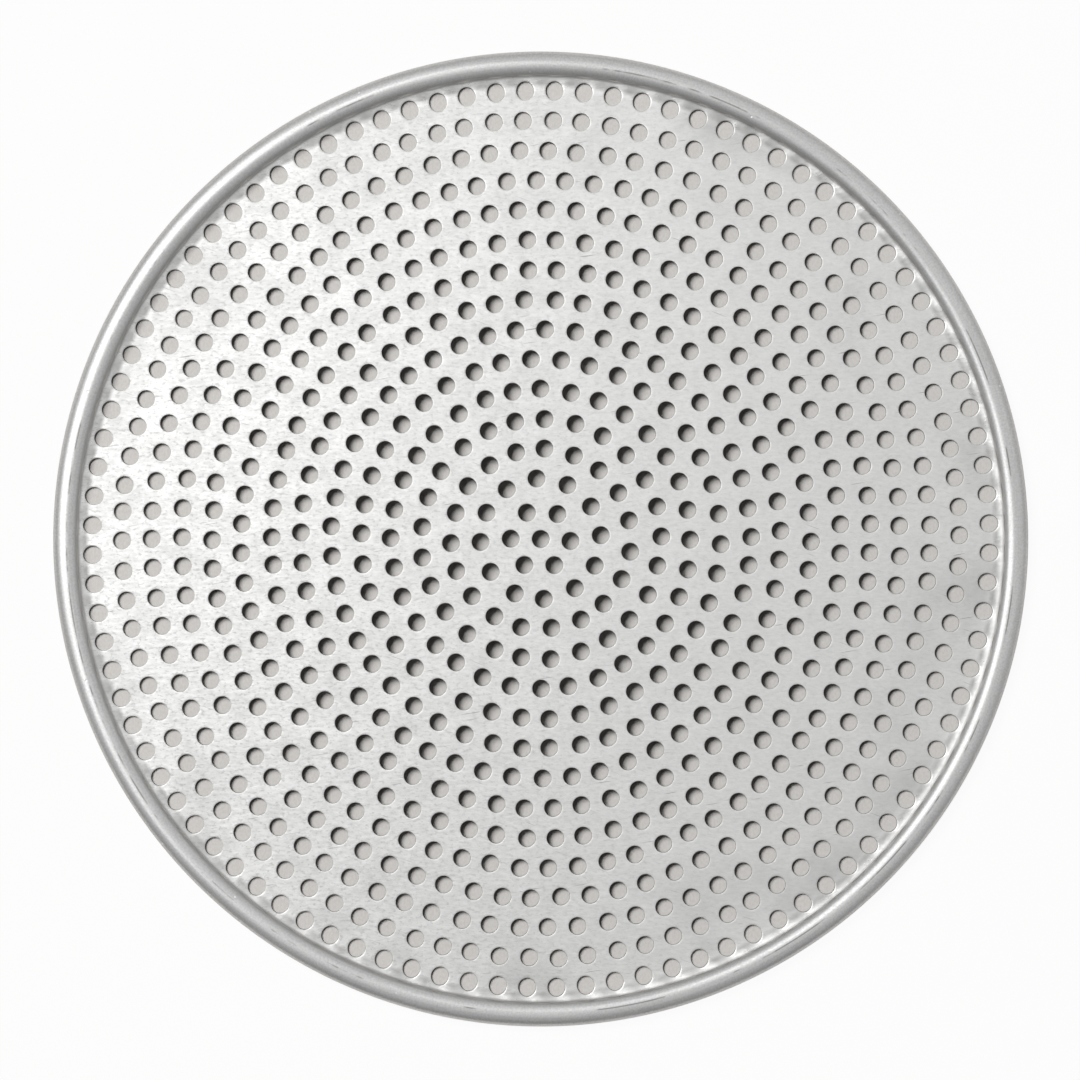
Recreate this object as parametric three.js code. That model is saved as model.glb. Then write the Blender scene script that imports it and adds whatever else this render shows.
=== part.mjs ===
// Pizza screen: a thin round aluminium sheet, punched with rings of holes and
// crowned a little, whose turned-up edge sits in a rolled hoop with a wire core.
// The sheet is one piece of metal in two meshes, which meet on a circle between
// two rings of holes, so that neither is heavy.
// Millimetres, +Z up, centred on the Z axis, resting on z = 0.
import * as THREE from "three";

// Driving dimensions
const SCREEN_DIAMETER = 305; // over the rim
const RIM_WIDTH = 7.7;
const RIM_HEIGHT = 6; // the hoop is rolled a little flat
const HOOP_WALL = 0.9;
const SHEET_THICKNESS = 1;
const CROWN_HEIGHT = 3.5; // rise of the sheet's middle above its border
const CROWN_POWER = 1.1; // at 1 the crown is a parabola, above 1 it runs out softly
const FLARE_RADIUS = 7; // bend that turns the sheet's edge up into the hoop
const FLARE_ANGLE = THREE.MathUtils.degToRad(30);
const HOLE_DIAMETER = 5.6;
const HOLE_TO_HOOP = 1.5; // metal between the outermost holes and the hoop
const CLEARANCE = 0.3; // between pieces
const SLOT_CLEARANCE = 0.4; // between the sheet and each lip of the hoop's slot

// Hole pattern: one hole in the middle and rings round it
const RING_COUNT = 15;
const HOLES_PER_STEP = 6.46; // holes that each ring has more than the ring inside it
const FIRST_HOLE_ANGLE = THREE.MathUtils.degToRad(53);
const RING_TURN = THREE.MathUtils.degToRad(5.1); // each ring starts this much further round
const SEAM_RING = 11; // the last ring of the sheet's middle mesh

// Facets
const ROUND_STEPS = 60; // round the screen
const HOOP_SIDES = 12; // round the hoop's section
const WIRE_SIDES = 6; // round the wire's section
const HOLE_SIDES = 5;

// The hoop's section is centred on the bead circle, and its slot faces down and inwards
const BEAD_RADIUS = (SCREEN_DIAMETER - RIM_WIDTH) / 2;
const BEAD_HEIGHT = RIM_HEIGHT / 2;
const HOOP_INNER_RADIUS = SCREEN_DIAMETER / 2 - RIM_WIDTH;
const CAVITY_HALF_WIDTH = RIM_WIDTH / 2 - HOOP_WALL;
const CAVITY_HALF_HEIGHT = RIM_HEIGHT / 2 - HOOP_WALL;

// The slot's middle line goes through the section's middle at the flare's angle. On an oval its
// lips are placed by the angle that they would have on a circle squeezed to that oval.
const SLOT_RUN = CAVITY_HALF_HEIGHT * Math.cos(FLARE_ANGLE);
const SLOT_RISE = CAVITY_HALF_WIDTH * Math.sin(FLARE_ANGLE);
const SLOT_DIRECTION = Math.PI + Math.atan2(SLOT_RISE, SLOT_RUN);
const CAVITY_ACROSS_SLOT = Math.hypot(SLOT_RUN, SLOT_RISE);
const SLOT_HALF_ANGLE = Math.asin((SHEET_THICKNESS / 2 + SLOT_CLEARANCE) / CAVITY_ACROSS_SLOT);

// The wire fills the hoop from bottom to top
const WIRE_RADIUS = CAVITY_HALF_HEIGHT - CLEARANCE;

// The sheet's edge runs up the slot's middle line and ends halfway between hoop and wire
const CAVITY_ALONG_SLOT = (CAVITY_HALF_WIDTH * CAVITY_HALF_HEIGHT) / CAVITY_ACROSS_SLOT;
const EDGE_DEPTH = (CAVITY_ALONG_SLOT + WIRE_RADIUS + CLEARANCE) / 2;
const SHEET_RADIUS = BEAD_RADIUS - EDGE_DEPTH * Math.cos(FLARE_ANGLE);
const RISE_START = BEAD_RADIUS - (BEAD_HEIGHT - SHEET_THICKNESS / 2) / Math.tan(FLARE_ANGLE);
const FLARE_START = RISE_START - FLARE_RADIUS * Math.tan(FLARE_ANGLE / 2);

// The outermost ring of holes sets the pitch of the others, and the crown runs out there
const OUTER_RING_RADIUS = HOOP_INNER_RADIUS - HOLE_TO_HOOP - HOLE_DIAMETER / 2;
const RING_PITCH = OUTER_RING_RADIUS / RING_COUNT;
const SEAM_RADIUS = (SEAM_RING + 0.5) * RING_PITCH;

const sheetMetal = new THREE.MeshStandardMaterial({ color: 0xd9d8d5, roughness: 0.45, metalness: 1 });
const hoopMetal = new THREE.MeshStandardMaterial({ color: 0xd2d1cf, roughness: 0.35, metalness: 1 });
const wireMetal = new THREE.MeshStandardMaterial({ color: 0xa9abad, roughness: 0.5, metalness: 1 });

function onCircle(radius, angle) {
  return new THREE.Vector2(Math.cos(angle), Math.sin(angle)).multiplyScalar(radius);
}

function polygon(radius, sides, turn = 0) {
  const corners = [];
  for (let i = 0; i < sides; i += 1) {
    corners.push(onCircle(radius, turn + (i * 2 * Math.PI) / sides));
  }
  return corners;
}

// Height of the sheet's underside: a crown that runs out softly, then the flare
function sheetHeight(radius) {
  const inside = Math.max(0, 1 - (radius / OUTER_RING_RADIUS) ** 2);
  const past = Math.max(0, radius - FLARE_START);
  const bent = Math.min(past, FLARE_RADIUS * Math.sin(FLARE_ANGLE));
  const rise = FLARE_RADIUS - Math.sqrt(FLARE_RADIUS ** 2 - bent ** 2);
  return CROWN_HEIGHT * inside ** CROWN_POWER + rise + (past - bent) * Math.tan(FLARE_ANGLE);
}

// Clockwise outlines of the holes of some rings, each with the area of its round hole
function holeOutlines(firstRing, lastRing) {
  const side = (2 * Math.PI) / HOLE_SIDES;
  const reach = (HOLE_DIAMETER / 2) * Math.sqrt(side / Math.sin(side));
  const outlines = [];
  for (let ring = firstRing; ring <= lastRing; ring += 1) {
    const count = Math.max(1, Math.floor(ring * HOLES_PER_STEP));
    for (let i = 0; i < count; i += 1) {
      const angle = FIRST_HOLE_ANGLE + ring * RING_TURN + (i * 2 * Math.PI) / count;
      const centre = onCircle(ring * RING_PITCH, angle);
      outlines.push(polygon(reach, HOLE_SIDES, angle).map((corner) => corner.add(centre)).reverse());
    }
  }
  return outlines;
}

// A net of triangles between the first rim and the openings, bands from rim to rim outside it,
// a copy of both one thickness above, and walls round the last rim and the openings
function sheetGeometry(rims, openings) {
  const starts = new Map();
  const corners = [];
  for (const loop of [rims[0], ...openings, ...rims.slice(1)]) {
    starts.set(loop, corners.length);
    corners.push(...loop);
  }
  const top = corners.length;
  const positions = [];
  for (const lift of [0, SHEET_THICKNESS]) {
    for (const corner of corners) {
      positions.push(corner.x, corner.y, sheetHeight(corner.length()) + lift);
    }
  }
  const triangles = [];
  for (const [a, b, c] of THREE.ShapeUtils.triangulateShape(rims[0], openings)) {
    triangles.push(a, c, b);
    triangles.push(a + top, b + top, c + top);
  }
  const addBand = (steps, start, end) => {
    for (let i = 0; i < steps; i += 1) {
      const next = (i + 1) % steps;
      triangles.push(start + i, start + next, end + next);
      triangles.push(start + i, end + next, end + i);
    }
  };
  for (let i = 1; i < rims.length; i += 1) {
    const inner = starts.get(rims[i - 1]);
    const outer = starts.get(rims[i]);
    addBand(rims[i].length, inner, outer);
    addBand(rims[i].length, outer + top, inner + top);
  }
  for (const loop of [...openings, rims.at(-1)]) {
    addBand(loop.length, starts.get(loop), starts.get(loop) + top);
  }
  const geometry = new THREE.BufferGeometry();
  geometry.setAttribute("position", new THREE.Float32BufferAttribute(positions, 3));
  geometry.setIndex(triangles);
  geometry.computeVertexNormals();
  return geometry;
}

function sheetMiddle() {
  return sheetGeometry([polygon(SEAM_RADIUS, ROUND_STEPS)], holeOutlines(0, SEAM_RING));
}

function sheetBorder() {
  const radii = [HOOP_INNER_RADIUS, (HOOP_INNER_RADIUS + SHEET_RADIUS) / 2, SHEET_RADIUS];
  const rims = radii.map((radius) => polygon(radius, ROUND_STEPS));
  const seam = polygon(SEAM_RADIUS, ROUND_STEPS).reverse();
  return sheetGeometry(rims, [seam, ...holeOutlines(SEAM_RING + 1, RING_COUNT)]);
}

// A closed section turned about the Z axis
function turned(section) {
  const geometry = new THREE.LatheGeometry([...section, section[0]], ROUND_STEPS);
  geometry.rotateX(Math.PI / 2);
  return geometry;
}

// An oval section with flats, open at the slot: it runs from the lower lip round to the upper lip
function rolledHoop() {
  const side = (2 * Math.PI) / HOOP_SIDES;
  const lowerLip = SLOT_DIRECTION + SLOT_HALF_ANGLE;
  const upperLip = SLOT_DIRECTION - SLOT_HALF_ANGLE + 2 * Math.PI;
  const angles = [lowerLip];
  for (let corner = (Math.round(lowerLip / side) + 0.5) * side; corner < upperLip; corner += side) {
    angles.push(corner);
  }
  angles.push(upperLip);
  const centre = new THREE.Vector2(BEAD_RADIUS, BEAD_HEIGHT);
  const atAngle = (halfWidth, halfHeight, angle) => {
    const fromFlat = angle - side * Math.round(angle / side);
    const corner = onCircle(1 / Math.cos(fromFlat), angle);
    return corner.multiply(new THREE.Vector2(halfWidth, halfHeight)).add(centre);
  };
  const outside = angles.map((angle) => atAngle(RIM_WIDTH / 2, RIM_HEIGHT / 2, angle));
  const inside = angles.map((angle) => atAngle(CAVITY_HALF_WIDTH, CAVITY_HALF_HEIGHT, angle));
  return turned([...outside, ...inside.reverse()]);
}

function rimWire() {
  const centre = new THREE.Vector2(BEAD_RADIUS, BEAD_HEIGHT);
  return turned(polygon(WIRE_RADIUS, WIRE_SIDES).map((corner) => corner.add(centre)));
}

function piece(name, geometry, material) {
  const mesh = new THREE.Mesh(geometry, material);
  mesh.name = name;
  return mesh;
}

const screen = new THREE.Group();
screen.add(piece("sheet_middle", sheetMiddle(), sheetMetal));
screen.add(piece("sheet_border", sheetBorder(), sheetMetal));
screen.add(piece("rolled_hoop", rolledHoop(), hoopMetal));
screen.add(piece("rim_wire", rimWire(), wireMetal));

export default screen;
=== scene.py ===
# Pizza screen: the looks, in metres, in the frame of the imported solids.
import math
import random
from collections import namedtuple

import bpy
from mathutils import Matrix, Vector, geometry


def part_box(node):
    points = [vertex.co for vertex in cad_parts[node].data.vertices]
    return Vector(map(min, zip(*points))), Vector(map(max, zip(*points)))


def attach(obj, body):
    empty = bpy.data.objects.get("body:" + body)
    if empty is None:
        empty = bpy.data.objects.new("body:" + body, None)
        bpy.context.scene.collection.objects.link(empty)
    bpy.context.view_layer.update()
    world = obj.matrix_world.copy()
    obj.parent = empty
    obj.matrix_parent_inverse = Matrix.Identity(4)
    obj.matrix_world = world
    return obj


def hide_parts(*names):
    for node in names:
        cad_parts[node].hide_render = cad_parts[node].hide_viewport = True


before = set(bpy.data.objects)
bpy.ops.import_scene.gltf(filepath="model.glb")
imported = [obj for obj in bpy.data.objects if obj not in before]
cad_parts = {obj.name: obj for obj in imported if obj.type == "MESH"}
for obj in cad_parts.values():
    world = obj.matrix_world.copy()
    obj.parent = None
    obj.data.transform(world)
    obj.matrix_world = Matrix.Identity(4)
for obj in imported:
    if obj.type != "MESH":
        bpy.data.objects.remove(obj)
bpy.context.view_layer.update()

# Sizes that the frame gives
hoop_low, hoop_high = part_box("rolled_hoop")
SCREEN_RADIUS = hoop_high[0]
RIM_HEIGHT = hoop_high[2] - hoop_low[2]

# Sizes that the solids share
RIM_WIDTH = 0.0077
HOOP_WALL = 0.0009
SHEET_THICKNESS = 0.001
CROWN_HEIGHT = 0.0035
CROWN_POWER = 1.1
FLARE_ANGLE = math.radians(30)
HOLE_DIAMETER = 0.0056
HOLE_TO_HOOP = 0.0015
RING_COUNT = 15
HOLES_PER_STEP = 6.46
FIRST_HOLE_ANGLE = math.radians(53)
RING_TURN = math.radians(5.1)

# Finer sizes of the punched sheet
HOLE_STEPS = 28  # corners round a hole
LIP_WIDTH = 0.0005  # of the drawn-down metal round a hole's upper edge
LIP_ANGLE = math.radians(18)  # how far it turns down
LIP_RINGS = 2
BURR = 0.0001  # how far a hole's wall leans in at its lower edge
OUTER_STRETCH = 1.06  # the flare draws the outermost holes long
WEB_BEND = 0.014  # bend radius of the flare between two outermost holes
HOLE_BEND = 0.008  # the same beside an outermost hole
SLOPE_STEP = 0.00001  # for finding the sheet's slope
PUNCH_WANDER = 0.00022  # how far a hole strays from its even place along the ring
PUNCH_WOBBLE = 0.00012  # the same across the ring
FLARE_STEP = 0.0006  # spacing of the circles of points on the flare
FLARE_POINTS = 360  # points on each of those circles
NET_TOLERANCE = 1e-9  # points closer than this are one point
SEED = 12

# The rim's section and the sheet's edge, as in the solids
BEAD_RADIUS = SCREEN_RADIUS - RIM_WIDTH / 2
BEAD_HEIGHT = RIM_HEIGHT / 2
HOOP_INNER_RADIUS = SCREEN_RADIUS - RIM_WIDTH
CAVITY_HALF_WIDTH = RIM_WIDTH / 2 - HOOP_WALL
CAVITY_HALF_HEIGHT = RIM_HEIGHT / 2 - HOOP_WALL
CAVITY_ACROSS_SLOT = math.hypot(
    CAVITY_HALF_HEIGHT * math.cos(FLARE_ANGLE), CAVITY_HALF_WIDTH * math.sin(FLARE_ANGLE)
)
CAVITY_ALONG_SLOT = CAVITY_HALF_WIDTH * CAVITY_HALF_HEIGHT / CAVITY_ACROSS_SLOT
EDGE_DEPTH = (CAVITY_ALONG_SLOT + CAVITY_HALF_HEIGHT) / 2  # the wire fills the cavity's height
SHEET_RADIUS = BEAD_RADIUS - EDGE_DEPTH * math.cos(FLARE_ANGLE)
RISE_START = BEAD_RADIUS - (BEAD_HEIGHT - SHEET_THICKNESS / 2) / math.tan(FLARE_ANGLE)

# The outermost ring of holes, and the flare that starts beside it
OUTER_RING_RADIUS = HOOP_INNER_RADIUS - HOLE_TO_HOOP - HOLE_DIAMETER / 2
OUTER_COUNT = math.floor(RING_COUNT * HOLES_PER_STEP)
OUTER_TURN = FIRST_HOLE_ANGLE + RING_COUNT * RING_TURN  # where its first hole lies
RING_PITCH = OUTER_RING_RADIUS / RING_COUNT
FLARE_START = RISE_START - WEB_BEND * math.tan(FLARE_ANGLE / 2)

# Slots of the sheet's materials, after that of its upper side
UNDERSIDE_SLOT = 1
WALL_SLOT = 2

# Steps of the hoop's mesh
HOOP_STEPS = 360
HOOP_ARC_STEPS = 40
ROLL_STEPS = 6  # round an edge of the strip
LIP_GAP = 0.00012  # between the hoop's lips and the sheet

# Base colours. A pair of tones is mixed by noise.
SHEET_TONES = ((0.805, 0.805, 0.795, 1), (0.94, 0.94, 0.93, 1))
STAIN_COLOUR = (0.55, 0.55, 0.545, 1)
FLECK_COLOUR = (0.5, 0.5, 0.495, 1)
SCRATCH_COLOUR = (0.2, 0.195, 0.19, 1)
# Painted shade on the flare and in the crease where the sheet meets the hoop
FLARE_SHADE_COLOUR = (0.42, 0.415, 0.405, 1)
# Painted shade: the underside is coloured dark so the floor under the sheet stays in deep shade
UNDERSIDE_SHADE_TONES = ((0.12, 0.117, 0.112, 1), (0.26, 0.255, 0.248, 1))
# Painted shade: the walls of the holes are coloured dark
WALL_SHADE_TONES = ((0.16, 0.155, 0.15, 1), (0.3, 0.295, 0.285, 1))
RIM_TONES = ((0.64, 0.64, 0.635, 1), (0.78, 0.78, 0.775, 1))
SCUFF_COLOUR = (0.25, 0.245, 0.24, 1)
# Painted glints: near-white colour on the rim's nicks
NICK_GLINT_COLOUR = (1.0, 1.0, 0.995, 1)
# Painted shade on the hoop's inner wall at the crease
RIM_CREASE_SHADE_COLOUR = (0.58, 0.575, 0.565, 1)
WIRE_TONES = ((0.5, 0.51, 0.52, 1), (0.68, 0.69, 0.7, 1))
PAPER_TONES = ((0.67, 0.645, 0.615, 1), (0.75, 0.73, 0.705, 1))

# Spans over which the sheet's wear and its painted shade change: along X, and by distance from
# the axis
WORN_SIDE = (-0.1, 0.06)  # the left is worn most
STAINED = (0.7 * SCREEN_RADIUS, 0.92 * SCREEN_RADIUS)
BURNISHED = (HOOP_INNER_RADIUS - 0.005, HOOP_INNER_RADIUS - 0.003)
# Painted shade on the flare: where it starts, and where it thins towards the crease
FLARE_SHADE_START = (HOOP_INNER_RADIUS - 0.0034, HOOP_INNER_RADIUS - 0.0022)
FLARE_SHADE_FADE = (HOOP_INNER_RADIUS - 0.002, HOOP_INNER_RADIUS - 0.001)
# Painted shade in the crease at the hoop
SHEET_CREASE = (HOOP_INNER_RADIUS - 0.0006, HOOP_INNER_RADIUS)
SCRATCH_LENGTH = 0.012
SCRATCH_WIDTH = 0.0005
SMEAR_RELIEF = 0.00015

# The rim's wear, and its painted shade at the crease
SCUFF_RADIUS = BEAD_RADIUS - 0.0006  # of the scuff along the crest
SCUFF_EDGE = (0.0001, 0.0003)  # from its middle
# Painted shade: where the hoop's inner wall darkens towards the sheet
RIM_CREASE = (HOOP_INNER_RADIUS + 0.0011, HOOP_INNER_RADIUS + 0.0005)
STREAK_TILT = 0.7  # how much height shifts the streaks, against radius
RIM_RELIEF = 0.00001
GRAIN_HEIGHT = 1.5  # against the streaks
NICK_DEPTH = 10.0  # the same

# Stage: a white floor with the bare table under the screen, both just below it
FLOOR_RADIUS = 4.0
FLOOR_HEIGHT = -0.0001
TABLE_HEIGHT = -0.00002
DISC_STEPS = 96
PAPER_ROUGHNESS = 0.9
FLOOR_GLOW = 0.95  # share of pure white where the camera sees the floor
MIRRORED_GLOW = 0.2  # part of that share that the metal mirrors

# The room's strength from the viewer's side to the far side, by the direction's Y
NEAR_SIDE = (-0.85, -0.12)
NEAR_STRENGTH = (0.4, 0.665)
FAR_SIDE = (-0.12, 0.2)
FAR_GAIN = (0.0, 0.08)
HORIZON_SHARE = 0.6  # of the room's strength straight above
DIFFUSE_SHARE = 0.05  # of the room's strength that lights matt surfaces

# Lamps
KEY_PLACE = Vector((-1.36, 0.99, 2.4))
KEY_AIM = Vector((0, 0, 0))
KEY_SIZE = (1.27, 1.27)
KEY_POWER = 84.0
PANEL_PLACE = Vector((-0.4, 0.16, 0.6))
PANEL_AIM = Vector((-0.26, 0.09, 0))
PANEL_SIZE = (0.6, 0.62)
PANEL_POWER = 1.36

# Camera: straight down, framed as the photograph is
IMAGE_SIZE = 1080
PHOTO_RIM_RADIUS = 487.5  # in pixels
PHOTO_CENTRE = (540.7, 539.0)  # in pixels from the upper left
LENS = 150
SENSOR = 36

Hole = namedtuple("Hole", "centre out stretch")


class Skin:
    """Gathers a mesh: its points, its faces and the normal at each corner of each face."""

    def __init__(self):
        self.places = []
        self.faces = []
        self.normals = []

    def add_points(self, places):
        """Returns the number of the first new point."""
        first = len(self.places)
        self.places += places
        return first

    def add_face(self, corners, normals):
        self.faces.append(corners)
        self.normals += normals

    def add_band(self, start, end, start_normals, end_normals):
        """Quads from one closed loop of points to another."""
        steps = len(start_normals)
        for i in range(steps):
            j = (i + 1) % steps
            corners = (start + i, start + j, end + j, end + i)
            normals = [start_normals[i], start_normals[j], end_normals[j], end_normals[i]]
            self.add_face(corners, normals)

    def build(self, name):
        made = smooth_object(name, self.places, self.faces)
        made.data.normals_split_custom_set(self.normals)
        return made


def linked(name, data):
    """A new object in the scene."""
    made = bpy.data.objects.new(name, data)
    bpy.context.scene.collection.objects.link(made)
    return made


def smooth_object(name, places, faces):
    """A new mesh object, shaded smooth."""
    mesh = bpy.data.meshes.new(name)
    mesh.from_pydata(places, [], faces)
    mesh.polygons.foreach_set("use_smooth", [True] * len(mesh.polygons))
    return linked(name, mesh)


def circle(radius, steps):
    """Plan points round the origin."""
    turns = (i * 2 * math.pi / steps for i in range(steps))
    return [Vector((math.cos(turn), math.sin(turn))) * radius for turn in turns]


def sheet_height(x, y):
    """Height of the sheet's underside: a crown that runs out softly, then the flare."""
    radius = math.hypot(x, y)
    inside = max(0.0, 1 - (radius / OUTER_RING_RADIUS) ** 2)
    beside = (1 + math.cos((math.atan2(y, x) - OUTER_TURN) * OUTER_COUNT)) / 2
    bend = WEB_BEND + (HOLE_BEND - WEB_BEND) * beside
    past = max(0.0, radius - RISE_START + bend * math.tan(FLARE_ANGLE / 2))
    bent = min(past, bend * math.sin(FLARE_ANGLE))
    rise = bend - math.sqrt(bend**2 - bent**2)
    return CROWN_HEIGHT * inside**CROWN_POWER + rise + (past - bent) * math.tan(FLARE_ANGLE)


def on_sheet(point, lift):
    """A plan point raised above the sheet's underside, and the sheet's upward normal there."""
    height = sheet_height(point.x, point.y)
    slope_x = (sheet_height(point.x + SLOPE_STEP, point.y) - height) / SLOPE_STEP
    slope_y = (sheet_height(point.x, point.y + SLOPE_STEP) - height) / SLOPE_STEP
    return (*point, height + lift), Vector((-slope_x, -slope_y, 1)).normalized()


def punched_holes():
    """Centre, radial direction and radial stretch of each hole."""
    draw = random.Random(SEED)
    holes = []
    for ring in range(RING_COUNT + 1):
        count = max(1, math.floor(ring * HOLES_PER_STEP))
        stretch = OUTER_STRETCH if ring == RING_COUNT else 1
        for i in range(count):
            angle = FIRST_HOLE_ANGLE + ring * RING_TURN + i * 2 * math.pi / count
            radius = ring * RING_PITCH
            if 0 < ring < RING_COUNT:
                angle += draw.gauss(0, PUNCH_WANDER) / radius
                radius += draw.gauss(0, PUNCH_WOBBLE)
            out = Vector((math.cos(angle), math.sin(angle)))
            holes.append(Hole(out * radius, out, stretch))
    return holes


def hole_loop(hole, radius):
    """Plan points of a circle round a hole."""
    side = Vector((-hole.out.y, hole.out.x))
    points = circle(radius, HOLE_STEPS)
    return [hole.centre + hole.out * p.x * hole.stretch + side * p.y for p in points]


def into_hole(hole):
    """Plan directions from a hole's edge to its middle."""
    return [(hole.centre - p).normalized() for p in hole_loop(hole, HOLE_DIAMETER / 2)]


def flare_points(holes):
    """Loose plan points on the flare, clear of the outermost holes."""
    clear = HOLE_DIAMETER / 2 * OUTER_STRETCH + LIP_WIDTH + FLARE_STEP / 2
    outer = [hole.centre for hole in holes if hole.stretch > 1]
    points = []
    radius = FLARE_START - 2 * FLARE_STEP
    while radius < SHEET_RADIUS - FLARE_STEP / 2:
        past_holes = radius - OUTER_RING_RADIUS > clear
        for point in circle(radius, FLARE_POINTS):
            if past_holes or min((point - centre).length for centre in outer) > clear:
                points.append(point)
        radius += FLARE_STEP
    return points


def sheet_net(holes):
    """The sheet's plan points, the holes' loops first and its edge next, and its triangles."""
    loops = [hole_loop(hole, HOLE_DIAMETER / 2 + LIP_WIDTH) for hole in holes]
    loops.append(circle(SHEET_RADIUS, FLARE_POINTS))
    points = []
    edges = []
    owner = []  # the number of the hole that a point lies on, or None
    for number, loop in enumerate(loops):
        first = len(points)
        points += loop
        owner += [number if number < len(holes) else None] * len(loop)
        edges += [(first + i, first + (i + 1) % len(loop)) for i in range(len(loop))]
    loose = flare_points(holes)
    owner += [None] * len(loose)
    points += loose
    net = geometry.delaunay_2d_cdt(points, edges, [], 0, NET_TOLERANCE, True)
    net_faces, net_origins = net[2], net[3]
    triangles = []
    for face in net_faces:
        corners = tuple(net_origins[i][0] for i in face)
        owners = {owner[i] for i in corners}
        if len(owners) > 1 or owners == {None}:
            triangles.append(corners)
    return points, triangles


def hole_lip(skin, hole, loop):
    """The drawn-down lip from a hole's loop on the sheet. Returns the loop at the hole's edge."""
    bend = LIP_WIDTH / math.sin(LIP_ANGLE)
    inward = into_hole(hole)
    normals = [on_sheet(p, 0)[1] for p in hole_loop(hole, HOLE_DIAMETER / 2 + LIP_WIDTH)]
    for ring in range(1, LIP_RINGS + 1):
        tilt = LIP_ANGLE * ring / LIP_RINGS
        radius = HOLE_DIAMETER / 2 + LIP_WIDTH - bend * math.sin(tilt)
        lift = SHEET_THICKNESS - bend * (1 - math.cos(tilt))
        edge = [on_sheet(point, lift) for point in hole_loop(hole, radius)]
        tilted = []
        for (place, normal), way in zip(edge, inward):
            leaning = normal * math.cos(tilt) + Vector((*way, 0)) * math.sin(tilt)
            tilted.append(leaning.normalized())
        first = skin.add_points([place for place, normal in edge])
        skin.add_band(loop, first, normals, tilted)
        loop = first
        normals = tilted
    return loop


def punched_sheet():
    """One sheet with round holes, crowned in the middle and flared at its edge."""
    holes = punched_holes()
    points, triangles = sheet_net(holes)
    skin = Skin()
    top = [on_sheet(point, SHEET_THICKNESS) for point in points]
    # The underside has the same net, drawn in to the lower edges of the holes
    for number, hole in enumerate(holes):
        first = number * HOLE_STEPS
        points[first:first + HOLE_STEPS] = hole_loop(hole, HOLE_DIAMETER / 2 - BURR)
    under = [on_sheet(point, 0) for point in points]
    high = skin.add_points([place for place, normal in top])
    low = skin.add_points([place for place, normal in under])
    for a, b, c in triangles:
        skin.add_face((high + a, high + b, high + c), [top[a][1], top[b][1], top[c][1]])
    upper = len(skin.faces)
    for a, b, c in triangles:
        normals = [-under[a][1], -under[c][1], -under[b][1]]
        skin.add_face((low + a, low + c, low + b), normals)
    lower = len(skin.faces)
    lips = [hole_lip(skin, hole, high + i * HOLE_STEPS) for i, hole in enumerate(holes)]
    drawn = len(skin.faces)
    for number, hole in enumerate(holes):
        inward = [Vector((*way, 0)) for way in into_hole(hole)]
        skin.add_band(lips[number], low + number * HOLE_STEPS, inward, inward)
    punched = len(skin.faces)
    edge = len(holes) * HOLE_STEPS
    outward = [Vector((*p, 0)).normalized() for p in points[edge:edge + FLARE_POINTS]]
    skin.add_band(low + edge, high + edge, outward, outward)

    sheet = skin.build("punched_sheet")
    for material in (rolled_aluminium(), underside_painted_dark(), punched_edge()):
        sheet.data.materials.append(material)
    for face in sheet.data.polygons[upper:lower]:
        face.material_index = UNDERSIDE_SLOT
    for face in sheet.data.polygons[drawn:punched]:
        face.material_index = WALL_SLOT
    return sheet


def at_bead(depth, angle):
    """A point of the oval that lies some depth inside the hoop's outside."""
    across = (RIM_WIDTH / 2 - depth) * math.cos(angle)
    return BEAD_RADIUS + across, BEAD_HEIGHT + (BEAD_HEIGHT - depth) * math.sin(angle)


def lip_round(angle, way):
    """Half circle round the strip's edge: from outside in at the upper lip, back at the lower."""
    centre = Vector(at_bead(HOOP_WALL / 2, angle))
    along = Vector((-math.sin(angle), math.cos(angle))) * way
    out = Vector((math.cos(angle), math.sin(angle))) * way
    points = []
    for i in range(1, ROLL_STEPS):
        turn = math.pi * i / ROLL_STEPS
        reach = (out * math.cos(turn) + along * math.sin(turn)) * HOOP_WALL / 2
        points.append(tuple(centre + reach))
    return points


def hoop_section():
    """The rolled strip's section: outside from the lower lip to the upper, then back inside."""
    run = (BEAD_HEIGHT - HOOP_WALL / 2) * math.cos(FLARE_ANGLE)
    rise = (RIM_WIDTH / 2 - HOOP_WALL / 2) * math.sin(FLARE_ANGLE)
    slot = math.pi + math.atan2(rise, run)
    half_gap = SHEET_THICKNESS / 2 + LIP_GAP + HOOP_WALL / 2
    opening = math.asin(half_gap / math.hypot(run, rise))
    lower = slot + opening
    upper = slot - opening + 2 * math.pi
    angles = [lower + (upper - lower) * i / HOOP_ARC_STEPS for i in range(HOOP_ARC_STEPS + 1)]
    outline = [at_bead(0, angle) for angle in angles]
    outline += lip_round(upper, 1)
    outline += [at_bead(HOOP_WALL, angle) for angle in reversed(angles)]
    outline += lip_round(lower, -1)
    return outline


def rolled_rim():
    """The hoop: its section turned about the screen's axis."""
    section = hoop_section()
    steps = len(section)
    places = []
    for out in circle(1, HOOP_STEPS):
        places += [(*(out * radius), height) for radius, height in section]
    faces = []
    for i in range(HOOP_STEPS):
        here = i * steps
        following = (i + 1) % HOOP_STEPS * steps
        for j in range(steps):
            k = (j + 1) % steps
            faces.append((here + j, following + j, following + k, here + k))
    rim = smooth_object("rolled_rim", places, faces)
    rim.data.materials.append(rim_aluminium())
    return rim


def add_node(tree, kind, inputs=None, **settings):
    """A node whose inputs are values or other nodes' outputs."""
    made = tree.nodes.new(kind)
    for name, value in settings.items():
        setattr(made, name, value)
    for socket, value in (inputs or {}).items():
        if isinstance(value, bpy.types.NodeSocket):
            tree.links.new(value, made.inputs[socket])
        else:
            made.inputs[socket].default_value = value
    return made


def maths(tree, operation, *values):
    inputs = dict(enumerate(values))
    return add_node(tree, "ShaderNodeMath", inputs, operation=operation).outputs[0]


def product(tree, first, second):
    return maths(tree, "MULTIPLY", first, second)


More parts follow.
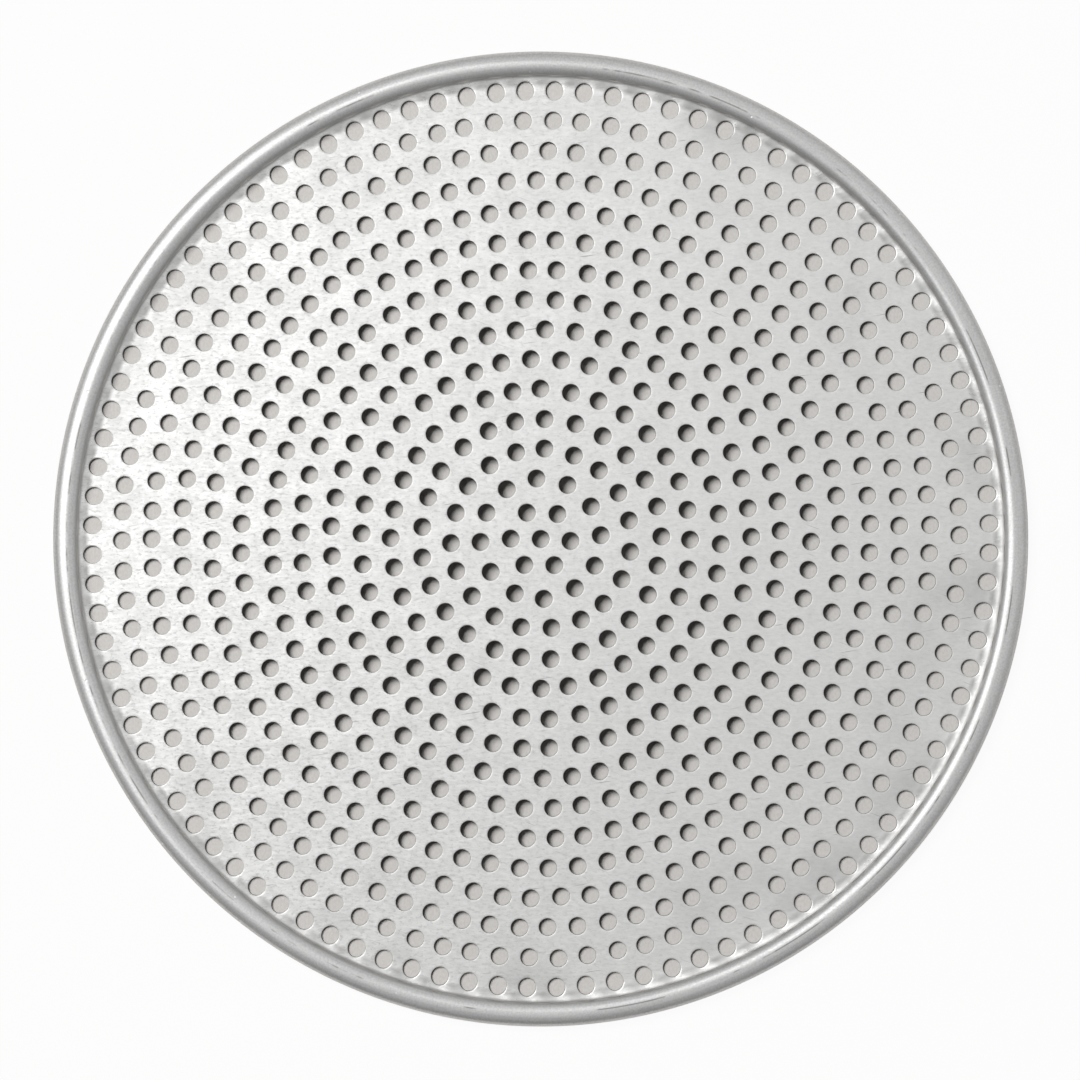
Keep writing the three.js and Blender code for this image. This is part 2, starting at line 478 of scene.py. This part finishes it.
def weighted(tree, first, share, second):
    """Two values mixed, with some share of the first."""
    return maths(tree, "MULTIPLY_ADD", first, share, product(tree, second, 1 - share))


def mapped(tree, value, span, ends=(0.0, 1.0)):
    """A value taken from one span to another, and held at the ends outside it."""
    inputs = {
        "Value": value,
        "From Min": span[0],
        "From Max": span[1],
        "To Min": ends[0],
        "To Max": ends[1],
    }
    return add_node(tree, "ShaderNodeMapRange", inputs).outputs["Result"]


def noise_value(tree, vector, scale, detail=3.0, rough=0.55):
    """Noise whose scale is in features per metre along each axis."""
    inputs = {"Vector": vector, "Scale": scale}
    place = add_node(tree, "ShaderNodeMapping", inputs).outputs["Vector"]
    inputs = {"Vector": place, "Scale": 1.0, "Detail": detail, "Roughness": rough}
    return add_node(tree, "ShaderNodeTexNoise", inputs).outputs["Fac"]


def mix_colour(tree, share, first, second):
    """Two colours mixed, with some share of the second."""
    inputs = {"Factor": share, 6: first, 7: second}
    return add_node(tree, "ShaderNodeMix", inputs, data_type="RGBA").outputs[2]


def separated(tree, vector):
    """A vector's X, Y and Z."""
    return add_node(tree, "ShaderNodeSeparateXYZ", {"Vector": vector}).outputs


def plan_radius(tree, place):
    """Distance of a surface point from the screen's axis."""
    inputs = {0: place, 1: (1, 1, 0)}
    flat = add_node(tree, "ShaderNodeVectorMath", inputs, operation="MULTIPLY").outputs[0]
    length = add_node(tree, "ShaderNodeVectorMath", {0: flat}, operation="LENGTH")
    return length.outputs["Value"]


def new_material(name, metallic=1.0):
    """A material, its nodes, its shader and the place of a surface point."""
    material = bpy.data.materials.new(name)
    material.use_nodes = True
    tree = material.node_tree
    shader = tree.nodes["Principled BSDF"]
    shader.inputs["Metallic"].default_value = metallic
    place = add_node(tree, "ShaderNodeTexCoord").outputs["Object"]
    return material, tree, shader, place


def set_surface(tree, shader, colour, rough):
    """Gives a shader its colour and its roughness."""
    tree.links.new(colour, shader.inputs["Base Color"])
    tree.links.new(rough, shader.inputs["Roughness"])


def bump(tree, shader, height, distance, strength=1.0):
    """Gives a shader relief too fine for its mesh."""
    inputs = {"Height": height, "Distance": distance, "Strength": strength}
    relief = add_node(tree, "ShaderNodeBump", inputs)
    tree.links.new(relief.outputs["Normal"], shader.inputs["Normal"])


def scratches(tree, place, degrees, share):
    """Sparse thin marks, turned from the X axis, as a share."""
    inputs = {
        "Vector": place,
        "Rotation": (0, 0, math.radians(degrees)),
        "Scale": (SCRATCH_LENGTH, SCRATCH_WIDTH, 1),
    }
    along = add_node(tree, "ShaderNodeMapping", inputs, vector_type="TEXTURE").outputs["Vector"]
    inputs = {"Vector": along, "Scale": 1.0, "Detail": 1.0}
    lines = add_node(tree, "ShaderNodeTexNoise", inputs).outputs["Fac"]
    return mapped(tree, lines, (0.74, 0.79), (0.0, share))


def pits(tree, place, scale, size, chosen):
    """Sparse round dots with soft edges: one in each chosen cell of a scattered grid."""
    inputs = {"Vector": place, "Scale": (scale, scale, 0)}
    flat = add_node(tree, "ShaderNodeMapping", inputs).outputs["Vector"]
    cells = add_node(tree, "ShaderNodeTexVoronoi", {"Vector": flat, "Scale": 1.0}).outputs
    pick = add_node(tree, "ShaderNodeSeparateColor", {"Color": cells["Color"]}).outputs["Red"]
    picked = maths(tree, "LESS_THAN", pick, chosen)
    dot = mapped(tree, cells["Distance"], (size * scale, size * scale / 2))
    return product(tree, picked, dot)


def flare_shade(tree, place, parts, radius):
    """Painted shade on the flare, thin beside the outermost holes, as a share."""
    painted_shade = mapped(tree, noise_value(tree, place, (160, 160, 0)), (0.35, 0.65), (0.4, 0.8))
    painted_shade = product(tree, mapped(tree, radius, FLARE_SHADE_START), painted_shade)
    painted_shade = product(tree, mapped(tree, radius, FLARE_SHADE_FADE, (1.0, 0.55)), painted_shade)
    turn = maths(tree, "ARCTAN2", parts["Y"], parts["X"])
    turn = maths(tree, "MULTIPLY_ADD", turn, OUTER_COUNT, -OUTER_COUNT * OUTER_TURN)
    between = mapped(tree, maths(tree, "COSINE", turn), (-1.0, 1.0), (1.0, 0.1))
    return product(tree, painted_shade, between)


def rolled_aluminium():
    """Satin sheet: smears, stains, flecks, scratches and pits, a burnished flare, and painted
    shade on the flare and in the crease at the hoop.
    """
    material, tree, shader, place = new_material("rolled_aluminium")
    parts = separated(tree, place)
    radius = plan_radius(tree, place)
    fine = noise_value(tree, place, (420, 950, 0), detail=3.0, rough=0.6)
    cloud = noise_value(tree, place, (70, 110, 0), detail=4.0, rough=0.6)
    smear = weighted(tree, fine, 0.6, cloud)
    contrast = mapped(tree, parts["X"], WORN_SIDE, (5.0, 2.2))
    tone = maths(tree, "MULTIPLY_ADD", maths(tree, "SUBTRACT", smear, 0.5), contrast, 0.5)
    colour = mix_colour(tree, tone, *SHEET_TONES)
    stain = mapped(tree, noise_value(tree, place, (24, 24, 0)), (0.5, 0.68))
    stain = product(tree, stain, mapped(tree, radius, STAINED, (0.0, 0.55)))
    colour = mix_colour(tree, stain, colour, STAIN_COLOUR)
    flecks = noise_value(tree, place, (600, 1100, 0), detail=4.0, rough=0.65)
    flecks = mapped(tree, flecks, (0.54, 0.62))
    flecks = product(tree, flecks, mapped(tree, parts["X"], WORN_SIDE, (0.5, 0.12)))
    colour = mix_colour(tree, flecks, colour, FLECK_COLOUR)
    marks = scratches(tree, place, degrees=9, share=0.6)
    marks = maths(tree, "MAXIMUM", marks, scratches(tree, place, degrees=-20, share=0.35))
    marks = maths(tree, "MAXIMUM", marks, pits(tree, place, scale=60, size=0.0004, chosen=0.1))
    colour = mix_colour(tree, marks, colour, SCRATCH_COLOUR)
    # Painted shade: the sheet darkened in the crease at the hoop and on the flare
    crease_shade = mapped(tree, radius, SHEET_CREASE, (0.0, 0.9))
    painted_shade = maths(tree, "MAXIMUM", flare_shade(tree, place, parts, radius), crease_shade)
    colour = mix_colour(tree, painted_shade, colour, FLARE_SHADE_COLOUR)
    rough = mapped(tree, smear, (0.38, 0.62), (0.53, 0.45))
    burnish = mapped(tree, radius, BURNISHED, (0.0, 0.18))
    set_surface(tree, shader, colour, maths(tree, "SUBTRACT", rough, burnish))
    bump(tree, shader, smear, SMEAR_RELIEF)
    return material


def underside_painted_dark():
    """The sheet's underside, coloured dark as painted shade, so little light bounces into the
    shade under the sheet.
    """
    material, tree, shader, place = new_material("underside_painted_dark")
    bloom = noise_value(tree, place, (60, 60, 60), detail=5.0)
    colour = mix_colour(tree, mapped(tree, bloom, (0.35, 0.65)), *UNDERSIDE_SHADE_TONES)
    set_surface(tree, shader, colour, mapped(tree, bloom, (0.3, 0.7), (0.65, 0.5)))
    return material


def punched_edge():
    """Sheared metal on the walls of the holes, coloured dark as painted shade in the holes."""
    material, tree, shader, place = new_material("punched_edge")
    marks = noise_value(tree, place, (1500, 1500, 200), detail=2.0)
    colour = mix_colour(tree, marks, *WALL_SHADE_TONES)
    set_surface(tree, shader, colour, mapped(tree, marks, (0.3, 0.7), (0.4, 0.5)))
    return material


def rim_aluminium():
    """Matt strip: streaks round it, a broken scuff on its crest, nicks with painted glints,
    painted shade at the sheet.
    """
    material, tree, shader, place = new_material("rim_aluminium")
    radius = plan_radius(tree, place)
    parts = separated(tree, place)
    across = maths(tree, "MULTIPLY_ADD", parts["Z"], STREAK_TILT, radius)
    inputs = {"X": parts["X"], "Y": parts["Y"], "Z": across}
    round_rim = add_node(tree, "ShaderNodeCombineXYZ", inputs).outputs[0]
    streak = noise_value(tree, round_rim, (30, 30, 1700), detail=3.0, rough=0.6)
    grain = noise_value(tree, place, (1500, 1500, 1500), detail=2.0, rough=0.6)
    tone = mapped(tree, weighted(tree, streak, 0.4, grain), (0.38, 0.62))
    colour = mix_colour(tree, tone, *RIM_TONES)
    from_crest = maths(tree, "ABSOLUTE", maths(tree, "SUBTRACT", radius, SCUFF_RADIUS))
    broken = noise_value(tree, place, (30, 30, 0), detail=4.0, rough=0.7)
    broken = mapped(tree, broken, (0.5, 0.56), (0.0, 0.8))
    scuff = product(tree, mapped(tree, from_crest, SCUFF_EDGE, (1.0, 0.0)), broken)
    scuff = maths(tree, "MAXIMUM", scuff, pits(tree, place, scale=55, size=0.0005, chosen=0.25))
    colour = mix_colour(tree, scuff, colour, SCUFF_COLOUR)
    clusters = mapped(tree, noise_value(tree, place, (25, 25, 0)), (0.48, 0.58), (0.15, 1.0))
    # Nicks: real relief, with painted glints in their near-white colour
    nicks_and_glints = product(tree, pits(tree, place, scale=260, size=0.00045, chosen=0.3), clusters)
    colour = mix_colour(tree, nicks_and_glints, colour, NICK_GLINT_COLOUR)
    # Painted shade on the hoop's inner wall, in the crease at the sheet
    crease_shade = mapped(tree, radius, RIM_CREASE)
    colour = mix_colour(tree, crease_shade, colour, RIM_CREASE_SHADE_COLOUR)
    set_surface(tree, shader, colour, mapped(tree, grain, (0.35, 0.65), (0.36, 0.3)))
    relief = maths(tree, "MULTIPLY_ADD", grain, GRAIN_HEIGHT, streak)
    relief = maths(tree, "MULTIPLY_ADD", nicks_and_glints, -NICK_DEPTH, relief)
    bump(tree, shader, relief, RIM_RELIEF, strength=0.8)
    return material


def zinc_wire():
    """Drawn wire with a zinc coat."""
    material, tree, shader, place = new_material("zinc_wire")
    grain = noise_value(tree, place, (500, 500, 500), detail=3.0)
    colour = mix_colour(tree, grain, *WIRE_TONES)
    set_surface(tree, shader, colour, mapped(tree, grain, (0.3, 0.7), (0.55, 0.4)))
    return material


def table_paper(name, glow):
    """Matt beige with a faint grain, lifted by some share to white where the camera sees it."""
    material, tree, shader, place = new_material(name, metallic=0.0)
    grain = mapped(tree, noise_value(tree, place, (1700, 1000, 0), detail=2.0), (0.3, 0.7))
    colour = mix_colour(tree, grain, *PAPER_TONES)
    tree.links.new(colour, shader.inputs["Base Color"])
    shader.inputs["Roughness"].default_value = PAPER_ROUGHNESS
    shader.inputs["Specular IOR Level"].default_value = 0.0
    if glow:
        path = add_node(tree, "ShaderNodeLightPath").outputs
        mirrored = maths(tree, "MAXIMUM", path["Is Glossy Ray"], path["Is Transmission Ray"])
        seen = maths(tree, "MULTIPLY_ADD", mirrored, MIRRORED_GLOW, path["Is Camera Ray"])
        white = add_node(tree, "ShaderNodeEmission", {"Strength": 1.0}).outputs[0]
        inputs = {0: product(tree, seen, glow), 1: shader.outputs[0], 2: white}
        lifted = add_node(tree, "ShaderNodeMixShader", inputs).outputs[0]
        tree.links.new(lifted, tree.nodes["Material Output"].inputs["Surface"])
    return material


def flat_disc(name, radius, height, material):
    """A round stage surface."""
    places = [(*point, height) for point in circle(radius, DISC_STEPS)]
    made = smooth_object(name, places, [tuple(range(DISC_STEPS))])
    made.data.materials.append(material)


def stage():
    """A white floor, and the bare table where the screen stands on it."""
    flat_disc("floor", FLOOR_RADIUS, FLOOR_HEIGHT, table_paper("white_floor", FLOOR_GLOW))
    flat_disc("table_top", BEAD_RADIUS, TABLE_HEIGHT, table_paper("bare_table", 0))


def softbox(name, place, aim, size, power):
    """A rectangular lamp that the camera doesn't see."""
    data = bpy.data.lights.new(name, "AREA")
    data.shape = "RECTANGLE"
    data.size, data.size_y = size
    data.energy = power
    lamp = linked(name, data)
    lamp.location = place
    lamp.rotation_mode = "QUATERNION"
    lamp.rotation_quaternion = (aim - place).to_track_quat("-Z", "Y")
    lamp.visible_camera = False
    return lamp


def studio_light():
    """A pale room, dimmer on the viewer's side and white to the camera, and two soft lamps.

    The key lights only the matt table and so gives the shadows seen in the holes. The panel is
    only mirrored by the metal.
    """
    world = bpy.data.worlds.new("studio")
    bpy.context.scene.world = world
    world.use_nodes = True
    tree = world.node_tree
    direction = add_node(tree, "ShaderNodeTexCoord").outputs["Generated"]
    parts = separated(tree, direction)
    near_side = mapped(tree, parts["Y"], NEAR_SIDE, NEAR_STRENGTH)
    room = maths(tree, "ADD", near_side, mapped(tree, parts["Y"], FAR_SIDE, FAR_GAIN))
    upward = maths(tree, "MULTIPLY_ADD", parts["Z"], 1 - HORIZON_SHARE, HORIZON_SHARE)
    room = product(tree, room, upward)
    path = add_node(tree, "ShaderNodeLightPath").outputs
    share = mapped(tree, path["Is Diffuse Ray"], (0.0, 1.0), (1.0, DIFFUSE_SHARE))
    strength = maths(tree, "MAXIMUM", product(tree, room, share), path["Is Camera Ray"])
    background = tree.nodes["Background"]
    background.inputs["Color"].default_value = (1, 1, 1, 1)
    tree.links.new(strength, background.inputs["Strength"])
    key = softbox("key_light", KEY_PLACE, KEY_AIM, KEY_SIZE, KEY_POWER)
    key.visible_glossy = False
    panel = softbox("soft_panel", PANEL_PLACE, PANEL_AIM, PANEL_SIZE, PANEL_POWER)
    panel.visible_diffuse = False


def camera():
    """Looks straight down, with the rim as large and as placed as in the photograph."""
    per_pixel = SCREEN_RADIUS / PHOTO_RIM_RADIUS
    data = bpy.data.cameras.new("camera")
    data.lens = LENS
    data.sensor_width = SENSOR
    made = linked("camera", data)
    distance = IMAGE_SIZE * per_pixel * LENS / SENSOR
    across = (IMAGE_SIZE / 2 - PHOTO_CENTRE[0]) * per_pixel
    up = (PHOTO_CENTRE[1] - IMAGE_SIZE / 2) * per_pixel
    made.location = (across, up, BEAD_HEIGHT + distance)
    bpy.context.scene.camera = made


bpy.context.scene.view_settings.view_transform = "Standard"
camera()
studio_light()
stage()

sheet = punched_sheet()
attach(sheet, "root")
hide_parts("sheet_middle", "sheet_border")

rim = rolled_rim()
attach(rim, "root")
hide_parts("rolled_hoop")

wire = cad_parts["rim_wire"]
wire.data.materials.clear()
wire.data.materials.append(zinc_wire())
